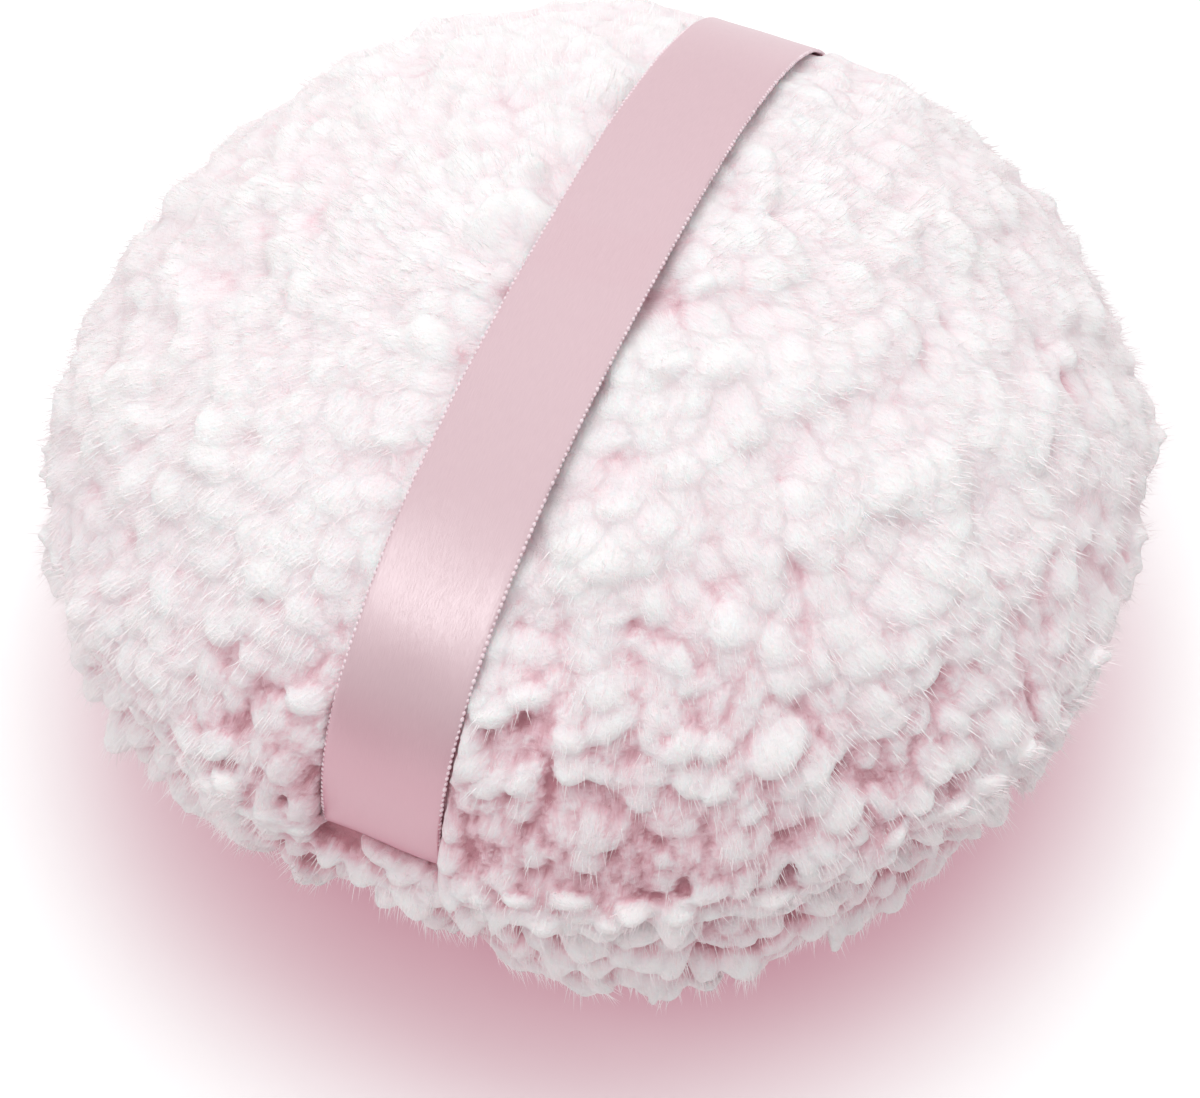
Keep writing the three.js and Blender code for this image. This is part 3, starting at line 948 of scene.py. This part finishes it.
tufts_tree = plant_tufts_tree()
felt_tree = finish_felt_tree()
fibres_tree = comb_fibres_tree()
fleece_finish = fleece()
fibre_finish = loose_fibre()
fibre = bpy.data.objects.new("fibre", fibre_mesh())
for cover, node, seed, side_of_seam in (
    (top_backing, "top_cover", 21, 1), (bottom_backing, "bottom_cover", 22, -1),
):
    planted = run_tree(cover, "planted", tufts_tree, {
        "Main Spacing": main_spacing, "Filling Spacing": filling_spacing, "Length": tuft_length,
        "Filling Length": filling_length, "Seed": seed, "Tufts": tufts,
    })
    comb(planted, side_of_seam, 0)
    felt = felted(planted, "felt")
    pile = run_tree(felt, f"{node}_pile", felt_tree, {
        "Tufts": planted, "Backing": cover, "Pile Depth": pile_depth, "Ridges": ridge_depth,
        "Finish": fleece_finish,
    })
    comb(pile, side_of_seam, settling)
    for used in (felt, planted, cover):
        bpy.data.objects.remove(used)
    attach(pile, "puff")
    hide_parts(node)
    fuzz = run_tree(pile, f"{node}_fuzz", fibres_tree, {
        "Fibre": fibre, "Per Square Metre": fibres_per_square_metre, "Length": fibre_length,
        "Least Height": lowest_fibre, "Seed": seed, "Finish": fibre_finish,
    })
    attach(fuzz, "puff")
bpy.data.objects.remove(fibre)
for tuft in list(tufts.objects):
    bpy.data.objects.remove(tuft)
bpy.data.collections.remove(tufts)

# The ribbon.
# One length of satin ribbon with woven edges, laid over the crown before the covers are sewn, so that
# both its ends go into the seam. It is made here as a front and a back half, which meet at the crown.

ribbon_width = 2 * ribbon_half_width
ribbon_thickness = 0.0003
ribbon_steps_across = 12
ribbon_steps_along = 72
ribbon_turn_steps = 6
tail_length = 0.0065
tail_steps = 4
edge_thinness = 0.6
ribbon_ripple = 0.00012
ripples_per_width, ripples_across = 5.0 / 4, 2


def ribbon_line():
    """Points (distance from the middle, height) from the caught end up to the crown."""
    half = ribbon_thickness / 2
    reach = ribbon_reach - half
    turn = ribbon_turn_height
    points = [(reach - turn - tail_length * (1 - i / tail_steps), seam_height) for i in range(tail_steps)]
    for i in range(ribbon_turn_steps):
        angle = math.pi / 2 * i / ribbon_turn_steps
        points.append((reach - turn * (1 - math.sin(angle)), seam_height + turn * (1 - math.cos(angle))))
    across, up = ribbon_fullness
    low, rise = seam_height + turn, ribbon_crown - half - seam_height - turn
    for i in range(ribbon_steps_along):
        angle = math.pi / 2 * i / ribbon_steps_along
        points.append((reach * math.cos(angle) ** (2 / across), low + rise * math.sin(angle) ** (2 / up)))
    return points + [(0, low + rise)]


def ribbon_frames():
    """For each point of the line: its distance from the middle, its height, and its outward direction."""
    line = ribbon_line()
    frames = []
    for i, (reach, height) in enumerate(line):
        before, after = line[max(i - 1, 0)], line[min(i + 1, len(line) - 1)]
        along = Vector((after[0] - before[0], after[1] - before[1])).normalized()
        frames.append((reach, height, Vector((along.y, -along.x))))
    frames[-1] = (*line[-1], Vector((0, 1)))
    return frames


def ribbon_half(name, end):
    frames = ribbon_frames()
    lengths = [0]
    for first, second in zip(frames, frames[1:]):
        lengths.append(lengths[-1] + math.dist(first[:2], second[:2]))
    mesh = bmesh.new()
    ribbon_map = mesh.loops.layers.uv.new("ribbon_map")
    half = ribbon_thickness / 2
    columns = [math.sin(math.pi * (j / ribbon_steps_across - 0.5)) / 2
               for j in range(ribbon_steps_across + 1)]
    count = len(columns)
    rows = []
    for (reach, height, out), length in zip(frames, lengths):
        row = []
        calm = min(1, (lengths[-1] - length) / ribbon_width)
        for side in (1, -1):
            for j, across in enumerate(columns):
                thin = half * (1 if 0 < j < count - 1 else edge_thinness)
                ripple = ribbon_ripple * calm * noise.noise(Vector((
                    across * ripples_across, length / ribbon_width * ripples_per_width, end)))
                lift = thin * side + ripple
                row.append(mesh.verts.new((
                    ribbon_width * across, end * (reach + out.x * lift), height + out.y * lift)))
        rows.append(row)
    ring = list(range(count)) + list(range(2 * count - 1, count - 1, -1))
    for i, (low, high) in enumerate(zip(rows, rows[1:])):
        for a, b in zip(ring, ring[1:] + ring[:1]):
            made = mesh.faces.new([low[a], low[b], high[b], high[a]])
            for loop, (column, step) in zip(made.loops, ((a, i), (b, i), (b, i + 1), (a, i + 1))):
                loop[ribbon_map].uv = (0.5 + columns[column % count], lengths[step] / ribbon_width)
    mesh.faces.new([rows[0][k] for k in ring])
    bmesh.ops.recalc_face_normals(mesh, faces=mesh.faces)
    for made in mesh.faces:
        made.smooth = True
    return linked(name, mesh_data(name, mesh)), lengths[-1]


threads_per_width = (150.0, 9.0, 1.0)
satin_colours = ((0.64, 0.40, 0.455, 1), (0.73, 0.49, 0.54, 1))
# Painted shade: the satin is darker and deeper pink near the seam, where it sinks into the pile.
painted_seam_shade_colour = (0.70, 0.25, 0.35, 1)
painted_seam_shade_widths, painted_seam_shade_share = (2.5, 1.5), 0.72


def satin():
    material, tree, shader = new_finish("pink_satin", {
        "Roughness": 0.34, "IOR": 2.0, "Specular IOR Level": 1.0})
    place = add_node(tree, "ShaderNodeUVMap", uv_map="ribbon_map").outputs["UV"]
    threads = vectors(tree, "MULTIPLY", place, threads_per_width)
    warp = noise_of(tree, threads, detail=2.0, noise_dimensions="2D")
    along = add_node(tree, "ShaderNodeSeparateXYZ", {"Vector": place}).outputs["Y"]
    # Painted shade towards the seam.
    painted_seam_shade = ranged(tree, along, *painted_seam_shade_widths, 0.0, painted_seam_shade_share, "SMOOTHSTEP")
    coloured(tree, shader, painted_seam_shade, (mixed(tree, warp, *satin_colours), painted_seam_shade_colour))
    bumped(tree, shader, warp, strength=0.25, distance=0.0001)
    return material


pick_pitch = 0.0005
pick_size = (0.00040, 0.00052, 0.00036)
pick_overhang = -0.00006
pick_sizes = (0.8, 1.1)
pick_wear_per_metre = 2500.0
pick_colours = ((0.86, 0.62, 0.69, 1), (0.98, 0.90, 0.92, 1))


def pick_mesh():
    """One loop of weft where it turns back at the ribbon's edge: a small rounded bead, a unit across."""
    mesh = bmesh.new()
    bmesh.ops.create_icosphere(mesh, subdivisions=1, radius=0.5)
    for made in mesh.faces:
        made.smooth = True
    return mesh_data("pick", mesh)


def weave_edges_tree():
    tree, given = tree_of_nodes("weave_edges", [
        ("Pick", "NodeSocketObject"), ("Pitch", "NodeSocketFloat"), ("Size", "NodeSocketVector"),
        ("Finish", "NodeSocketMaterial"),
    ])
    line = add_node(tree, "GeometryNodeMeshToCurve", {"Mesh": given["Geometry"]}).outputs["Curve"]
    points = add_node(tree, "GeometryNodeCurveToPoints", {
        "Curve": line, "Length": given["Pitch"]}, mode="LENGTH")
    turn = add_node(tree, "FunctionNodeAxesToRotation", {
        "Primary Axis": points.outputs["Tangent"], "Secondary Axis": (1.0, 0.0, 0.0),
    }, primary_axis="Y", secondary_axis="X")
    planted = add_node(tree, "GeometryNodeInstanceOnPoints", {
        "Points": points.outputs["Points"], "Instance": shape_of(tree, given["Pick"]),
        "Rotation": turn.outputs["Rotation"], "Scale": given["Size"],
    }).outputs["Instances"]
    planted = add_node(tree, "GeometryNodeScaleInstances", {
        "Instances": planted, "Scale": random_value(tree, *pick_sizes, seed=4)}).outputs["Instances"]
    return end_tree(tree, realised(tree, planted), given["Finish"])


def edge_lines(end):
    """The ribbon half's two long edges as bare lines."""
    corners, lines = [], []
    for side in (-1, 1):
        start = len(corners)
        for reach, height, _ in ribbon_frames()[tail_steps:]:
            corners.append((side * (ribbon_half_width + pick_overhang), end * reach, height))
        lines += [(i, i + 1) for i in range(start, len(corners) - 1)]
    data = bpy.data.meshes.new("edge_lines")
    data.from_pydata(corners, lines, [])
    return linked("edge_lines", data)


def woven_edge():
    material, tree, shader = new_finish("woven_edge", {"Roughness": 0.6})
    coloured(tree, shader, noise_of(tree, own_place(tree), pick_wear_per_metre), pick_colours)
    return material


satin_finish = satin()
edge_finish = woven_edge()
edges_tree = weave_edges_tree()
pick = bpy.data.objects.new("pick", pick_mesh())
for name, end in (("ribbon_front", -1), ("ribbon_back", 1)):
    half, length = ribbon_half(name, end)
    half.data.materials.append(satin_finish)
    lines = edge_lines(end)
    picks = run_tree(lines, f"{name}_edges", edges_tree, {
        "Pick": pick, "Pitch": pick_pitch, "Size": pick_size, "Finish": edge_finish})
    bpy.data.objects.remove(lines)
    for piece in (half, picks):
        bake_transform(piece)
    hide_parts("ribbon")
bpy.data.objects.remove(pick)

# The threads.
# Two-ply polyester: a needle and a bobbin thread round the seam, a zigzag tack across each ribbon end,
# and the ladder stitch that shuts the turning gap. Their runs are as the puff is sewn.

plies_per_metre = 900.0
thread_colours = ((0.80, 0.58, 0.64, 1), (0.93, 0.80, 0.83, 1))


def sewing_thread():
    material, tree, shader = new_finish("sewing_thread", {"Roughness": 0.7})
    plies = add_node(tree, "ShaderNodeTexWave", {
        "Vector": own_place(tree), "Scale": plies_per_metre, "Distortion": 1.5, "Detail": 1.0,
    }, bands_direction="DIAGONAL").outputs["Fac"]
    coloured(tree, shader, plies, thread_colours)
    bumped(tree, shader, plies, strength=0.5, distance=0.0001)
    return material


thread_finish = sewing_thread()
for node in ("seam_needle_thread", "seam_bobbin_thread", "front_tack_thread", "back_tack_thread",
             "closing_thread"):
    thread = frame["nodes"][node]
    thread.data.materials.clear()
    thread.data.materials.append(thread_finish)

# The sponge.
# A disc of soft open-celled foam with rounded faces. It is pushed in through the turning gap, and its
# rim is pinched thinner where the seam allowances lie.

sponge_gap = 0.0003
notch_height = 0.0026
sponge_pit = 0.0004
sponge_pits_per_metre = 450
cells_per_metre, cell_walls = 1600.0, (0.1, 0.6)
foam_colours = ((0.62, 0.52, 0.40, 1), (0.93, 0.88, 0.79, 1))


def sponge_profile():
    reach = backing_radius - sponge_gap
    upper = dome(reach, notch_height, crown_height - seam_height - fleece_thickness - sponge_gap,
                 upper_fullness, inner_steps * 2)
    lower = dome(reach, notch_height, seam_height - resting_fleece_thickness - sponge_gap,
                 lower_fullness, inner_steps * 2)
    notch = [(raw_edge_radius - sponge_gap, -notch_height), (raw_edge_radius - sponge_gap, notch_height)]
    outline = [(radius, -height) for radius, height in lower[::-1]] + notch + upper
    return [(radius, height, inside_part) for radius, height in outline]


def foam():
    material, tree, shader = new_finish("open_foam", {"Roughness": 0.95})
    cells = add_node(tree, "ShaderNodeTexVoronoi", {
        "Vector": own_place(tree), "Scale": cells_per_metre}).outputs["Distance"]
    coloured(tree, shader, ranged(tree, cells, *cell_walls), foam_colours)
    bumped(tree, shader, cells, strength=0.8, distance=0.0004)
    return material


sponge = turned_mesh("sponge", sponge_profile())
for vertex in sponge.data.vertices:
    pit = 0.5 + 0.5 * noise.noise(vertex.co * sponge_pits_per_metre)
    vertex.co -= vertex.normal * sponge_pit * pit
for made in sponge.data.polygons:
    made.use_smooth = True
sponge.data.materials.append(foam())
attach(sponge, "puff")
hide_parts("foam_core")
